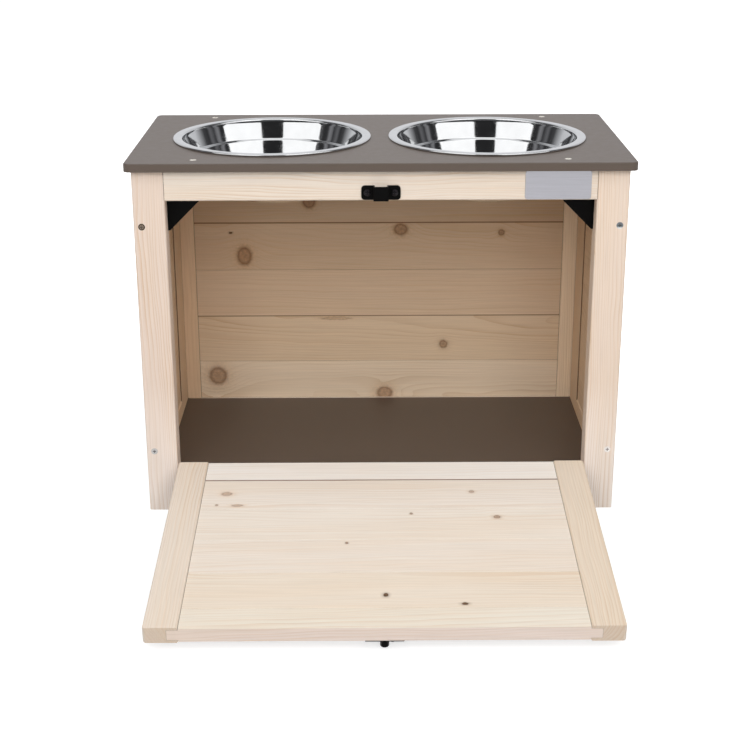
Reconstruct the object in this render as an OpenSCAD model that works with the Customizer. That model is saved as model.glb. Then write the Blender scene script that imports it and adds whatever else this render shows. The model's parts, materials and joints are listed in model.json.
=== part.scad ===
// Dog feeder stand: a cabinet on legs that holds two bowls, with a flap that drops down in front.
// Millimetres. X runs to the right, Y to the back, Z up; the feet stand on Z = 0.
// The flap is drawn closed and then swung open about its hinge pins.

/* [Top panel] */
// Width of the top panel, side to side
top_w = 600; // [570:1:680]
// Depth of the top panel, front to back
top_d = 320; // [306:1:380]
// Thickness of the top panel
top_t = 10; // [8:0.5:18]
// How far the top panel oversails the frames all round
top_overhang = 8; // [2:0.5:12]
// Radius of the top panel's corners in plan
top_corner_r = 8; // [4:0.5:20]
// Rounding of the top panel's upper edge
top_arris_r = 1.5; // [0.5:0.1:3]

/* [Front and rear frames] */
// Width of a leg, side to side
leg_w = 38; // [32:0.5:44]
// Thickness of legs and rails, front to back
frame_t = 28; // [25:0.5:30]
// Height of a rail
rail_h = 36; // [30:0.5:46]
// Height of the bottom rails over the ground
foot_h = 9; // [5:0.5:20]
// Rounding of the long edges of legs, rails and stiles
edge_r = 2; // [1:0.1:2.5]

/* [Side frames] */
// Thickness of a side frame
side_t = 19; // [17:0.5:22]
// Width of a side stile, front to back
side_stile_w = 65; // [45:1:80]
// Height of a side frame's bottom rail
side_rail_h = 57; // [48:1:75]

/* [Boards] */
// Thickness of the tongue-and-groove boards
board_t = 16; // [14:0.5:17]
// Height that one full board covers
board_cover = 67; // [60:0.5:80]
// Height of the back wall's lowest board, ripped to fit
first_course = 55; // [50:1:67]
// Height of the back wall's highest board, ripped to fit
last_course = 30; // [26:1:60]
// Length of the flap's board next to the hinges
flap_first_course = 44; // [30:1:50]
// Open joint between that board and the next one
flap_first_gap = 1.4; // [0.2:0.1:2]
// Thickness of the tongue along a board
tongue_t = 5; // [4:0.5:6]
// Length of the tongue along a board
tongue_l = 6; // [4:0.5:8]
// Depth of the V along the joint between two boards
v_joint = 0.3; // [0.3:0.1:2]
// Thickness of the stub at a board's end
stub_t = 12; // [10:0.5:13]
// Depth of the groove that takes the stubs
stub_groove_d = 12; // [8:0.5:14]
// How far the back boards lie behind the rear legs' front faces
back_recess = 4; // [2:0.5:6]

/* [Floor panel] */
// Thickness of the floor panel
floor_t = 10; // [8:0.5:12]
// Depth of the groove in the side frames that carries the floor panel
floor_groove_d = 6; // [4:0.5:8]

/* [Bowls] */
// Diameter over a bowl's rim
rim_d = 248; // [230:1:252]
// Width of the rim outside the bowl's wall
rim_w = 10.5; // [8:0.5:14]
// Diameter of the rolled edge of the rim
rim_bead_d = 3; // [2.6:0.1:4]
// Depth of a bowl under the top panel's face
bowl_depth = 75; // [62:1:84]
// Angle of a bowl's wall from the upright
bowl_slant = 19.5; // [12:0.5:26]
// Radius of the turn from a bowl's wall into its flat base
bowl_turn_r = 75; // [20:1:80]
// Thickness of the bowls' sheet
bowl_t = 1; // [0.8:0.1:1.2]
// Distance between the bowls' centres
bowl_pitch = 270; // [256:1:274]
// Room between a bowl's wall and its cut-out
bowl_hole_gap = 1.5; // [1:0.1:3]

/* [Flap] */
// Thickness of the flap's stiles
flap_t = 19; // [18:0.5:20]
// Width of a flap stile
flap_stile_w = 37; // [32:0.5:44]
// Rounding of the flap's four corners
flap_corner_r = 4; // [3:0.5:8]
// Room at each side of the closed flap
flap_side_gap = 2; // [1:0.1:4]
// Room over the closed flap
flap_top_gap = 2.3; // [1.8:0.1:4]

/* [Hinges] */
// Distance from the side of the opening to the middle of a hinge
hinge_inset = 104; // [80:1:150]
// Length of a hinge along its pin
hinge_l = 60; // [48:1:70]
// Width of a leaf, from the face of the stand
leaf_w = 15; // [13:0.5:16]
// Distance from the face of the stand to a leaf's screws
hinge_screw_y = 9; // [8:0.5:9.5]
// Thickness of a leaf
leaf_t = 1.2; // [1:0.1:1.6]
// Diameter over the knuckles
knuckle_d = 5; // [4.6:0.1:6]
// Diameter of a hinge pin
hinge_pin_d = 2.6; // [2:0.1:3]

/* [Barrel bolt] */
// Width of the bolt's base plate
bolt_plate_w = 41; // [36:1:60]
// Length of the bolt's base plate
bolt_plate_l = 40; // [38:1:50]
// Distance from the flap's free edge to the base plate
bolt_plate_inset = 0.5; // [0.5:0.1:3]
// Diameter of the bolt's rod
rod_d = 7; // [6:0.1:7.4]
// Length of the rod
rod_l = 42; // [38:1:50]
// Length of the guide round the rod
guide_l = 16; // [12:1:18]
// Distance from the base plate's rear edge to the guide
guide_inset = 2; // [0:0.5:4]
// Thickness of the guide's wall
guide_wall = 1.3; // [1:0.1:2]
// Diameter of the knob
knob_d = 9.8; // [8:0.1:11]
// Distance from the face of the stand to the knob's end
knob_reach = 13; // [11:0.1:16]
// Distance from the rod's tip to the knob's axis
knob_back = 11; // [10:0.5:14]
// Rounding of the knob's end
knob_edge_r = 1.5; // [0.5:0.1:2.5]

/* [Keeper] */
// Width over the keeper's wings
keeper_w = 46; // [40:1:56]
// Height of the keeper
keeper_h = 17; // [14:0.5:20]
// Thickness of the keeper's strip
keeper_t = 1.5; // [1.2:0.1:2]
// Width of the keeper's loop, outside
keeper_loop_w = 18; // [15:0.5:22]
// How far the loop stands off the rail, outside
keeper_loop_d = 9.5; // [9.4:0.1:12]
// Rounding of the wings' corners
keeper_corner_r = 4; // [2:0.5:6]
// Distance from the rail's lower edge to the keeper
keeper_rise = 1.2; // [0.5:0.1:4]

/* [Corner brackets] */
// Length of a bracket's arms
bracket_l = 40; // [30:1:60]
// Thickness of a bracket's web and flanges
bracket_t = 2.5; // [2:0.1:3]
// Distance from the corner to a bracket's screws
bracket_screw_at = 22; // [16:1:26]

/* [Screws] */
// Head diameter of the screws in legs and top panel
frame_screw_head_d = 8; // [7:0.1:9]
// Shank diameter of the screws in legs and top panel
frame_screw_d = 4; // [3.5:0.1:4.5]
// Length of the screws in the legs
leg_screw_l = 50; // [45:1:60]
// Length of the screws in the top panel
top_screw_l = 30; // [25:1:34]
// Height of the lower leg screws
leg_screw_low_z = 80; // [76:1:110]
// Distance from the top of a leg to its upper screw
leg_screw_drop = 67; // [60:1:90]
// Distance from the top panel's ends to its screws
top_screw_inset = 80; // [70:1:120]
// Head diameter of the screws in the ironmongery
small_screw_head_d = 5.6; // [5:0.1:6]
// Shank diameter of the screws in the ironmongery
small_screw_d = 3; // [2.5:0.1:3.2]
// Length of the screws in the ironmongery
small_screw_l = 12; // [8:0.5:13]
// Head diameter of the bolt's round-headed screws
dome_head_d = 7; // [6:0.1:8]
// Head height of the bolt's round-headed screws
dome_head_h = 4.5; // [2:0.1:5]
// Distance from the bolt's round heads to its plate's edges
dome_margin = 3; // [1:0.5:4]
// Distance from the bolt's round heads to its rod
dome_room = 1.2; // [0.8:0.1:3]

/* [Hidden] */
$fn = 64;

// Fits
slip = 0.1;
groove_play = 0.2;
shoulder_gap = 0.3;
board_gap = 0.2;
leaf_gap = 0.15;
pin_clearance = 0.05;
knuckle_gap = 0.3;
rod_lift = 0.3;
stop_gap = 0.3;
cut = 1;

// Colours
pine = "#E8DACB";
taupe = "#8A817B";
steel = "#D5D7D8";
black = "#1C1B1A";
zinc = "#B9BBBD";
ivory = "#D9D3CA";

// Frames
left = -1;
right = 1;
frame_w = top_w - 2 * top_overhang;
frame_d = top_d - 2 * top_overhang;
opening_w = frame_w - 2 * leg_w;
back_y = frame_d - frame_t;
courses = 6;
wall_h = first_course + (courses - 2) * board_cover + last_course;
opening_low = foot_h + rail_h;
opening_high = opening_low + wall_h;
leg_h = opening_high + rail_h;
top_z = leg_h + top_t;
side_x = frame_w / 2 - side_t;
side_l = back_y - frame_t;
side_clear = side_l - 2 * side_stile_w;
side_field_low = foot_h + side_rail_h;
side_field_high = opening_low + first_course + (courses - 2) * board_cover;
leg_screw_x = frame_w / 2 - side_t / 2;
top_screw_x = top_w / 2 - top_screw_inset;
leg_screw_high_z = leg_h - leg_screw_drop;
stub_groove_w = stub_t + 2 * groove_play;

// Bowls
rim_r = rim_d / 2;
wall_r = rim_r - rim_w;
bead_r = rim_bead_d / 2;
bead_flat = 0.15;
rim_bend_r = 1.5;
bowl_hole_r = wall_r + bowl_hole_gap;
wall_dir = -bowl_slant;
turn_start = bowl_depth - bowl_turn_r * (1 - sin(bowl_slant));
bowl_base_r = wall_r - turn_start * tan(bowl_slant) - bowl_turn_r * cos(bowl_slant);
turn_centre = [bowl_base_r, bowl_turn_r - bowl_depth];
function mouth_r(t) = turn_centre.x + (bowl_turn_r - t + sin(wall_dir) * turn_centre.y) / cos(wall_dir);
rim_t = wall_r - mouth_r(bowl_t);
rim_h = rim_bead_d - bead_flat;
neck_h = (rim_h - rim_t) / 4;
bowl_y = frame_d / 2;

// Hinges: the pin lies just in front of the face, between the folded leaves
hinge_x = opening_w / 2 - hinge_inset;
hinge_y = -knuckle_d / 2 - slip;
hinge_z = opening_low + leaf_t + leaf_gap;
leaf_start = knuckle_d / 2 + knuckle_gap;
knuckle_l = (hinge_l - 2 * knuckle_gap) / 3;
hinge_screw_x = hinge_l / 3;

// Flap, closed
flap_w = opening_w - 2 * flap_side_gap;
flap_low = hinge_z + leaf_gap + leaf_t;
flap_high = opening_high - flap_top_gap;
flap_l = flap_high - flap_low;
flap_clear = flap_w - 2 * flap_stile_w;
flap_recess = (flap_t - board_t) / 2;

// Barrel bolt, flap closed; its base plate fills the recess of the boards up to the stand's face
bolt_plate_t = flap_recess;
rod_y = -rod_lift - rod_d / 2;
rod_tip_z = flap_high - bolt_plate_inset;
knob_z = rod_tip_z - knob_back;
plate_low = rod_tip_z - bolt_plate_l;
guide_low = plate_low + guide_inset;
guide_r = rod_d / 2 + slip + guide_wall;
dome_x = rod_d / 2 + dome_head_d / 2 + dome_room;
dome_edge = dome_head_d / 2 + dome_margin;

// Keeper and brackets
keeper_z = opening_high + keeper_rise;
keeper_bend_r = 2;
keeper_screw_x = (keeper_w + keeper_loop_w) / 4;
bracket_y = flap_t + stop_gap;
bracket_w = frame_t - bracket_y;

// The open flap lies on the end of its knob: the angle under the horizontal at which that meets the ground
knob_dy = knob_edge_r - knob_reach - hinge_y;
knob_dz = knob_z - hinge_z + knob_d / 2 - knob_edge_r;
flap_dip = atan2(knob_dy, knob_dz) + asin((hinge_z - knob_edge_r) / norm([knob_dy, knob_dz]));
open_angle = 90 + flap_dip;

// The origin is the middle of the footprint of stand and open flap
flap_reach_y = hinge_y - (flap_t - hinge_y) * sin(flap_dip) - (flap_high - hinge_z) * cos(flap_dip);
origin_y = (flap_reach_y + frame_d + top_overhang) / 2;
echo(open_angle = open_angle, hinge = [hinge_y - origin_y, hinge_z], origin_y = origin_y, top_z = top_z);

// Placing

module in_frame() {
  translate([0, -origin_y, 0]) children();
}

module handed(side) {
  if (side == left) mirror([1, 0, 0]) children();
  else children();
}

module swung_open() {
  in_frame()
    translate([0, hinge_y, hinge_z])
      rotate([open_angle, 0, 0])
        translate([0, -hinge_y, -hinge_z]) children();
}

// Shapes shared by several pieces

module rounded_rect(w, h, r) {
  translate([r, 0]) square([w - 2 * r, h]);
  translate([0, r]) square([w, h - 2 * r]);
  for (x = [r, w - r], y = [r, h - r]) translate([x, y]) circle(r);
}

module along_x(l) {
  translate([-l / 2, 0, 0]) rotate([90, 0, 90]) linear_extrude(l) children();
}

module along_y(l) {
  translate([0, l, 0]) rotate([90, 0, 0]) linear_extrude(l) children();
}

// Countersunk screw with its head's face at the origin, shank towards -Z
module screw(head_d, shank_d, l) {
  head_h = (head_d - shank_d) / 2;
  cross_l = head_d / 2;
  cross_w = head_d / 7;
  cross_d = head_h * 2 / 3;
  difference() {
    rotate_extrude()
      polygon([[0, -l], [shank_d / 2, shank_d - l], [shank_d / 2, -head_h], [head_d / 2, 0], [0, 0]]);
    for (a = [0, 90])
      rotate(a) translate([-cross_l / 2, -cross_w / 2, -cross_d]) cube([cross_l, cross_w, cross_d + cut]);
  }
}

module screw_hole(head_d, shank_d, l) {
  head_r = head_d / 2 + slip;
  shank_r = shank_d / 2 + slip;
  end = -l - slip;
  rotate_extrude()
    polygon([[0, end], [shank_r, end], [shank_r, shank_r - head_r], [head_r, 0], [head_r, cut], [0, cut]]);
}

module small_screw() {
  screw(small_screw_head_d, small_screw_d, small_screw_l);
}

module small_screw_hole() {
  screw_hole(small_screw_head_d, small_screw_d, small_screw_l);
}

// Places of the screws, each with the head's face outwards along +Z

module at_leg_screws(rear) {
  for (z = [leg_screw_low_z, leg_screw_high_z])
    translate([leg_screw_x, rear ? frame_d : 0, z]) rotate([rear ? -90 : 90, 0, 0]) children();
}

module at_top_screws() {
  for (x = [-top_screw_x, top_screw_x], y = [frame_t / 2, frame_d - frame_t / 2])
    translate([x, y, top_z]) children();
}

module at_bracket_screws() {
  bracket_mid = bracket_y + (bracket_t + bracket_w) / 2;
  translate([opening_w / 2, bracket_mid, opening_high]) {
    translate([-bracket_t, 0, -bracket_screw_at]) rotate([0, -90, 0]) children();
    translate([-bracket_screw_at, 0, -bracket_t]) rotate([180, 0, 0]) children();
  }
}

module at_keeper_screws() {
  for (x = [-keeper_screw_x, keeper_screw_x])
    translate([x, -keeper_t, keeper_z + keeper_h / 2]) rotate([90, 0, 0]) children();
}

module at_hinge_screws() {
  for (x = [-hinge_screw_x, hinge_screw_x]) translate([hinge_x + x, hinge_screw_y, 0]) children();
}

module at_rail_leaf_screws() {
  at_hinge_screws() translate([0, 0, opening_low + leaf_t]) children();
}

module at_flap_leaf_screws() {
  at_hinge_screws() translate([0, 0, flap_low - leaf_t]) rotate([180, 0, 0]) children();
}

module at_bolt_screws() {
  front_screw = [dome_x, rod_tip_z - dome_edge];
  rear_screw = [dome_edge - bolt_plate_w / 2, plate_low + bolt_plate_l / 3];
  for (at = [front_screw, rear_screw])
    translate([at.x, flap_recess - bolt_plate_t, at.y]) rotate([90, 0, 0]) children();
}

// Boards

function wall_seam(i) = i == 0 ? 0 : i == courses ? wall_h : first_course + (i - 1) * board_cover;
function flap_seam(i) = i == 0 ? 0 : i == courses ? flap_l : flap_first_course + (i - 1) * board_cover;

// Section of a board: thickness along X from 0, height along Y from 0
module board_section(h, groove, tongue) {
  v = v_joint * sqrt(2);
  difference() {
    union() {
      square([board_t, h]);
      if (tongue) translate([(board_t - tongue_t) / 2, h - cut]) square([tongue_t, tongue_l + cut]);
    }
    if (groove)
      translate([(board_t - tongue_t) / 2 - groove_play, -cut])
        square([tongue_t + 2 * groove_play, tongue_l + groove_play + cut]);
    for (x = [0, board_t]) {
      if (groove) translate([x, 0]) rotate(45) square(v, center = true);
      if (tongue) translate([x, h]) rotate(45) square(v, center = true);
    }
  }
}

// Board lying along X, thickness along Y from 0, with a stub at each end for a groove past the clear width
module board(clear, h, groove, tongue) {
  stub_l = stub_groove_d - groove_play + shoulder_gap;
  board_l = clear + 2 * (stub_l - shoulder_gap);
  cheek = (board_t - stub_t) / 2;
  difference() {
    along_x(board_l) board_section(h, groove, tongue);
    for (x = [-board_l / 2 - cut, board_l / 2 - stub_l], y = [-cut, board_t - cheek])
      translate([x, y, -cut]) cube([stub_l + cut, cheek + cut, h + tongue_l + 2 * cut]);
  }
}

// Top and bowls

module arris_section(r) {
  difference() {
    square(r + cut);
    circle(r);
  }
}

module arris_corner(corner_r, r) {
  rotate_extrude(angle = 90) translate([corner_r - r, 0]) arris_section(r);
}

// What rounds the upper edge of a panel w by d whose top is at Z = 0
module arris_cutter(w, d, corner_r, r) {
  straight_w = w - 2 * corner_r;
  straight_d = d - 2 * corner_r;
  for (a = [0, 180]) rotate(a) {
    translate([w / 2 - r, straight_d / 2, -r]) rotate([90, 0, 0]) linear_extrude(straight_d) arris_section(r);
    translate([0, d / 2 - r, -r]) along_x(straight_w) arris_section(r);
    translate([straight_w / 2, straight_d / 2, -r]) arris_corner(corner_r, r);
    translate([-straight_w / 2, straight_d / 2, -r]) rotate(90) arris_corner(corner_r, r);
  }
}

module top_panel() {
  in_frame() color(taupe) difference() {
    translate([-top_w / 2, -top_overhang, leg_h])
      linear_extrude(top_t) rounded_rect(top_w, top_d, top_corner_r);
    translate([0, bowl_y, top_z]) arris_cutter(top_w, top_d, top_corner_r, top_arris_r);
    for (x = [-bowl_pitch / 2, bowl_pitch / 2])
      translate([x, bowl_y, leg_h - cut]) cylinder(r = bowl_hole_r, h = top_t + 2 * cut);
    at_top_screws() screw_hole(frame_screw_head_d, frame_screw_d, top_screw_l);
  }
}

// Half section of a bowl's body, filled to the axis, drawn in by t from the outside; its mouth is at Y = 0
module bowl_half(t) {
  turn_r = bowl_turn_r - t;
  tangent = turn_centre + turn_r * [cos(wall_dir), sin(wall_dir)];
  base = turn_centre - [0, turn_r];
  mouth = mouth_r(t);
  polygon([[0, base.y], base, tangent, [mouth, 0], [mouth, neck_h], [0, neck_h]]);
  intersection() {
    translate(turn_centre) circle(turn_r);
    translate([0, -2 * bowl_depth]) square([wall_r, 2 * bowl_depth + neck_h / 2]);
  }
}

// Rim: the wall turns outwards over a small bend into a flat flange with a rolled edge that sits on the panel
module rim_section() {
  difference() {
    translate([wall_r - rim_t, 0]) square([rim_w + rim_t - bead_r, rim_h]);
    translate([wall_r + rim_bend_r, rim_h - rim_t - rim_bend_r]) rotate(90) arris_section(rim_bend_r + rim_t);
    difference() {
      translate([wall_r, -cut]) square([rim_w, rim_h - rim_t + cut]);
      translate([wall_r + rim_bend_r, rim_h - rim_t - rim_bend_r]) rotate(90) arris_section(rim_bend_r);
    }
  }
  intersection() {
    translate([rim_r - bead_r, bead_r - bead_flat]) circle(bead_r);
    translate([rim_r - rim_bead_d, 0]) square([rim_bead_d, rim_h]);
  }
}

module bowl(side) {
  in_frame() color(steel) translate([side * bowl_pitch / 2, bowl_y, top_z]) rotate_extrude() {
    difference() {
      bowl_half(0);
      bowl_half(bowl_t);
    }
    rim_section();
  }
}

module top_screws() {
  in_frame() color(ivory) at_top_screws() screw(frame_screw_head_d, frame_screw_d, top_screw_l);
}

// Front and rear frames

module leg_blank() {
  linear_extrude(leg_h) rounded_rect(leg_w, frame_t, edge_r);
}

module front_leg(side) {
  in_frame() color(pine) handed(side) difference() {
    translate([opening_w / 2, 0, 0]) leg_blank();
    at_leg_screws(false) screw_hole(frame_screw_head_d, frame_screw_d, leg_screw_l);
    at_bracket_screws() small_screw_hole();
  }
}

module rear_leg(side) {
  board_mid = back_y + back_recess + board_t / 2;
  in_frame() color(pine) handed(side) difference() {
    translate([opening_w / 2, back_y, 0]) leg_blank();
    translate([opening_w / 2 - cut, board_mid - stub_groove_w / 2, opening_low])
      cube([stub_groove_d + cut, stub_groove_w, wall_h]);
    at_leg_screws(true) screw_hole(frame_screw_head_d, frame_screw_d, leg_screw_l);
  }
}

module rail_blank() {
  along_x(opening_w) rounded_rect(frame_t, rail_h, edge_r);
}

module front_top_rail() {
  in_frame() color(pine) difference() {
    translate([0, 0, opening_high]) rail_blank();
    at_top_screws() screw_hole(frame_screw_head_d, frame_screw_d, top_screw_l);
    at_keeper_screws() small_screw_hole();
    for (side = [left, right]) handed(side) at_bracket_screws() small_screw_hole();
  }
}

module front_bottom_rail() {
  in_frame() color(pine) difference() {
    translate([0, 0, foot_h]) rail_blank();
    for (side = [left, right]) handed(side) at_rail_leaf_screws() small_screw_hole();
  }
}

module rear_top_rail() {
  in_frame() color(pine) difference() {
    translate([0, back_y, opening_high]) rail_blank();
    at_top_screws() screw_hole(frame_screw_head_d, frame_screw_d, top_screw_l);
  }
}

module rear_bottom_rail() {
  in_frame() color(pine) translate([0, back_y, foot_h]) rail_blank();
}

module leg_screws() {
  in_frame() color(zinc)
    for (side = [left, right], rear = [false, true])
      handed(side) at_leg_screws(rear) screw(frame_screw_head_d, frame_screw_d, leg_screw_l);
}

module back_board(i) {
  low = wall_seam(i - 1);
  in_frame() color(pine)
    translate([0, back_y + back_recess, opening_low + low])
      board(opening_w, wall_seam(i) - low - board_gap, i > 1, i < courses);
}

// Side frames

module floor_groove() {
  translate([side_x - cut, frame_t - cut, opening_low - floor_t - groove_play])
    cube([floor_groove_d + cut, side_l + 2 * cut, floor_t + groove_play]);
}

// Groove along a stile's edge for the board stubs; its mouth is at Y = 0, towards +Y
module side_stub_groove() {
  translate([side_x + (side_t - stub_groove_w) / 2, -cut, side_field_low])
    cube([stub_groove_w, stub_groove_d + cut, side_field_high - side_field_low]);
}

module side_stile(side, rear) {
  in_frame() color(pine) handed(side) difference() {
    translate([side_x, rear ? back_y - side_stile_w : frame_t, 0])
      linear_extrude(leg_h) rounded_rect(side_t, side_stile_w, edge_r);
    if (rear) translate([0, back_y - side_stile_w, 0]) side_stub_groove();
    else translate([0, frame_t + side_stile_w, 0]) mirror([0, 1, 0]) side_stub_groove();
    floor_groove();
    at_leg_screws(rear) screw_hole(frame_screw_head_d, frame_screw_d, leg_screw_l);
  }
}

module side_rail_blank(h) {
  translate([side_x, frame_t + side_stile_w, 0]) along_y(side_clear) rounded_rect(side_t, h, edge_r);
}

module side_top_rail(side) {
  in_frame() color(pine) handed(side)
    translate([0, 0, side_field_high]) side_rail_blank(leg_h - side_field_high);
}

module side_bottom_rail(side) {
  in_frame() color(pine) handed(side) difference() {
    translate([0, 0, foot_h]) side_rail_blank(side_rail_h);
    floor_groove();
  }
}

module side_boards(side) {
  field_courses = courses - 1;
  in_frame() color(pine) handed(side)
    for (i = [1:field_courses]) {
      low = i == 1 ? side_field_low : opening_low + wall_seam(i - 1);
      translate([side_x + (side_t + board_t) / 2, frame_t + side_l / 2, low])
        rotate(90) board(side_clear, opening_low + wall_seam(i) - low - board_gap, i > 1, i < field_courses);
    }
}

module floor_panel() {
  panel_w = 2 * (side_x + floor_groove_d - groove_play);
  in_frame() color(taupe)
    translate([-panel_w / 2, frame_t, opening_low - floor_t]) cube([panel_w, side_l, floor_t]);
}

// Corner brackets, keeper

module corner_bracket(side) {
  l = bracket_l;
  in_frame() color(black) handed(side) difference() {
    translate([opening_w / 2, bracket_y, opening_high]) {
      along_y(bracket_t)
        polygon([[0, 0], [-l, 0], [-l, -bracket_t], [-bracket_t, -l], [0, -l]]);
      along_y(bracket_w) {
        translate([-bracket_t, -l]) square([bracket_t, l]);
        translate([-l, -bracket_t]) square([l, bracket_t]);
      }
    }
    at_bracket_screws() small_screw_hole();
  }
}

module bracket_screws() {
  in_frame() color(black) for (side = [left, right]) handed(side) at_bracket_screws() small_screw();
}

module keeper_section() {
  loop_in_w = keeper_loop_w - 2 * keeper_t;
  difference() {
    union() {
      translate([-keeper_w / 2, -keeper_t]) square([keeper_w, keeper_t]);
      translate([-keeper_loop_w / 2, -keeper_loop_d])
        rounded_rect(keeper_loop_w, keeper_loop_d + keeper_bend_r, keeper_bend_r);
    }
    translate([-loop_in_w / 2, keeper_t - keeper_loop_d])
      rounded_rect(loop_in_w, keeper_loop_d + keeper_t, keeper_bend_r - keeper_t / 2);
    translate([-keeper_w, 0]) square(2 * keeper_w);
  }
}

module keeper() {
  in_frame() color(black) difference() {
    intersection() {
      translate([0, 0, keeper_z]) linear_extrude(keeper_h) keeper_section();
      translate([-keeper_w / 2, -keeper_loop_d - cut, keeper_z])
        along_y(keeper_loop_d + 2 * cut) rounded_rect(keeper_w, keeper_h, keeper_corner_r);
    }
    at_keeper_screws() small_screw_hole();
  }
}

module keeper_screws() {
  in_frame() color(black) at_keeper_screws() small_screw();
}

// Hinges: the rail leaf has the outer knuckles, the flap leaf the middle one

function leaf_z(over) = hinge_z + (over > 0 ? leaf_gap : -leaf_gap - leaf_t);

module knuckle_bore() {
  translate([hinge_x, hinge_y, hinge_z]) rotate([0, 90, 0])
    cylinder(r = hinge_pin_d / 2 + pin_clearance, h = hinge_l + 2 * cut, center = true);
}

// A knuckle of length l, x from the hinge's middle, with the strip to its leaf under (-1) or over (1) the pin
module knuckle(x, l, over) {
  translate([hinge_x + x, hinge_y, hinge_z]) rotate([0, 90, 0]) cylinder(d = knuckle_d, h = l, center = true);
  translate([hinge_x + x - l / 2, hinge_y, leaf_z(over)]) cube([l, leaf_start + cut, leaf_t]);
}

module leaf_plate(over) {
  translate([hinge_x - hinge_l / 2, hinge_y + leaf_start, leaf_z(over)])
    cube([hinge_l, leaf_w - hinge_y - leaf_start, leaf_t]);
}

module hinge_rail_leaf(side) {
  in_frame() color(zinc) handed(side) difference() {
    union() {
      leaf_plate(-1);
      for (x = [left, right]) knuckle(x * (knuckle_l + knuckle_gap), knuckle_l, -1);
    }
    knuckle_bore();
    at_rail_leaf_screws() small_screw_hole();
  }
}

module hinge_flap_leaf(side) {
  swung_open() color(zinc) handed(side) difference() {
    union() {
      leaf_plate(1);
      knuckle(0, knuckle_l, 1);
    }
    knuckle_bore();
    at_flap_leaf_screws() small_screw_hole();
  }
}

module hinge_pin(side) {
  in_frame() color(zinc) handed(side)
    translate([hinge_x, hinge_y, hinge_z]) rotate([0, 90, 0])
      cylinder(d = hinge_pin_d, h = hinge_l, center = true);
}

module hinge_rail_screws() {
  in_frame() color(zinc) for (side = [left, right]) handed(side) at_rail_leaf_screws() small_screw();
}

module hinge_flap_screws() {
  swung_open() color(zinc) for (side = [left, right]) handed(side) at_flap_leaf_screws() small_screw();
}

// Flap

module flap_outline() {
  translate([-flap_w / 2, flap_low]) rounded_rect(flap_w, flap_l, flap_corner_r);
}

module flap_stile(side) {
  swung_open() color(pine) handed(side) difference() {
    intersection() {
      translate([flap_w / 2 - flap_stile_w, 0, flap_low])
        linear_extrude(flap_l) rounded_rect(flap_stile_w, flap_t, edge_r);
      along_y(flap_t) flap_outline();
    }
    translate([flap_w / 2 - flap_stile_w - cut, (flap_t - stub_groove_w) / 2, flap_low - cut])
      cube([stub_groove_d + cut, stub_groove_w, flap_l + 2 * cut]);
  }
}

module flap_board(i) {
  low = flap_seam(i - 1);
  high = flap_seam(i) - (i == 1 ? flap_first_gap : i < courses ? board_gap : 0);
  swung_open() color(pine) difference() {
    translate([0, flap_recess, flap_low + low]) board(flap_clear, high - low, i > 1, i < courses);
    for (side = [left, right]) handed(side) at_flap_leaf_screws() small_screw_hole();
    at_bolt_screws() dome_screw_hole();
  }
}

// Barrel bolt

module dome_screw() {
  rotate_extrude() {
    intersection() {
      dome_r = (pow(dome_head_d / 2, 2) + pow(dome_head_h, 2)) / (2 * dome_head_h);
      translate([0, dome_head_h - dome_r]) circle(dome_r);
      square([dome_head_d / 2, dome_head_h]);
    }
    translate([0, -small_screw_l]) square([small_screw_d / 2, small_screw_l]);
  }
}

module dome_screw_hole() {
  depth = small_screw_l + slip;
  translate([0, 0, -depth]) cylinder(r = small_screw_d / 2 + slip, h = depth + cut);
}

module bolt_base_plate() {
  guide_reach = rod_lift + rod_d / 2;
  swung_open() color(black) difference() {
    union() {
      translate([-bolt_plate_w / 2, flap_recess - bolt_plate_t, plate_low])
        cube([bolt_plate_w, bolt_plate_t, bolt_plate_l]);
      translate([0, 0, guide_low]) {
        translate([0, rod_y, 0]) cylinder(r = guide_r, h = guide_l);
        translate([-guide_r, rod_y, 0]) cube([2 * guide_r, guide_reach, guide_l]);
      }
    }
    translate([0, rod_y, guide_low - cut]) cylinder(r = rod_d / 2 + pin_clearance, h = guide_l + 2 * cut);
    at_bolt_screws() dome_screw_hole();
  }
}

module bolt_screws() {
  swung_open() color(black) at_bolt_screws() dome_screw();
}

module knob_socket(r) {
  translate([0, rod_y, knob_z]) rotate([90, 0, 0]) cylinder(r = r, h = knob_reach);
}

module bolt_rod() {
  swung_open() color(black) difference() {
    translate([0, rod_y, rod_tip_z - rod_l]) cylinder(d = rod_d, h = rod_l);
    knob_socket(rod_d / 4 + slip);
  }
}

module bolt_knob() {
  stem_l = knob_reach + rod_y;
  head_l = knob_reach - rod_lift - rod_d - slip;
  swung_open() color(black) translate([0, rod_y, knob_z]) rotate([90, 0, 0]) rotate_extrude() {
    square([rod_d / 4, stem_l]);
    translate([0, stem_l - head_l]) square([knob_d / 2, head_l - knob_edge_r]);
    translate([0, stem_l - head_l]) square([knob_d / 2 - knob_edge_r, head_l]);
    translate([knob_d / 2 - knob_edge_r, stem_l - knob_edge_r]) circle(knob_edge_r);
  }
}

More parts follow.
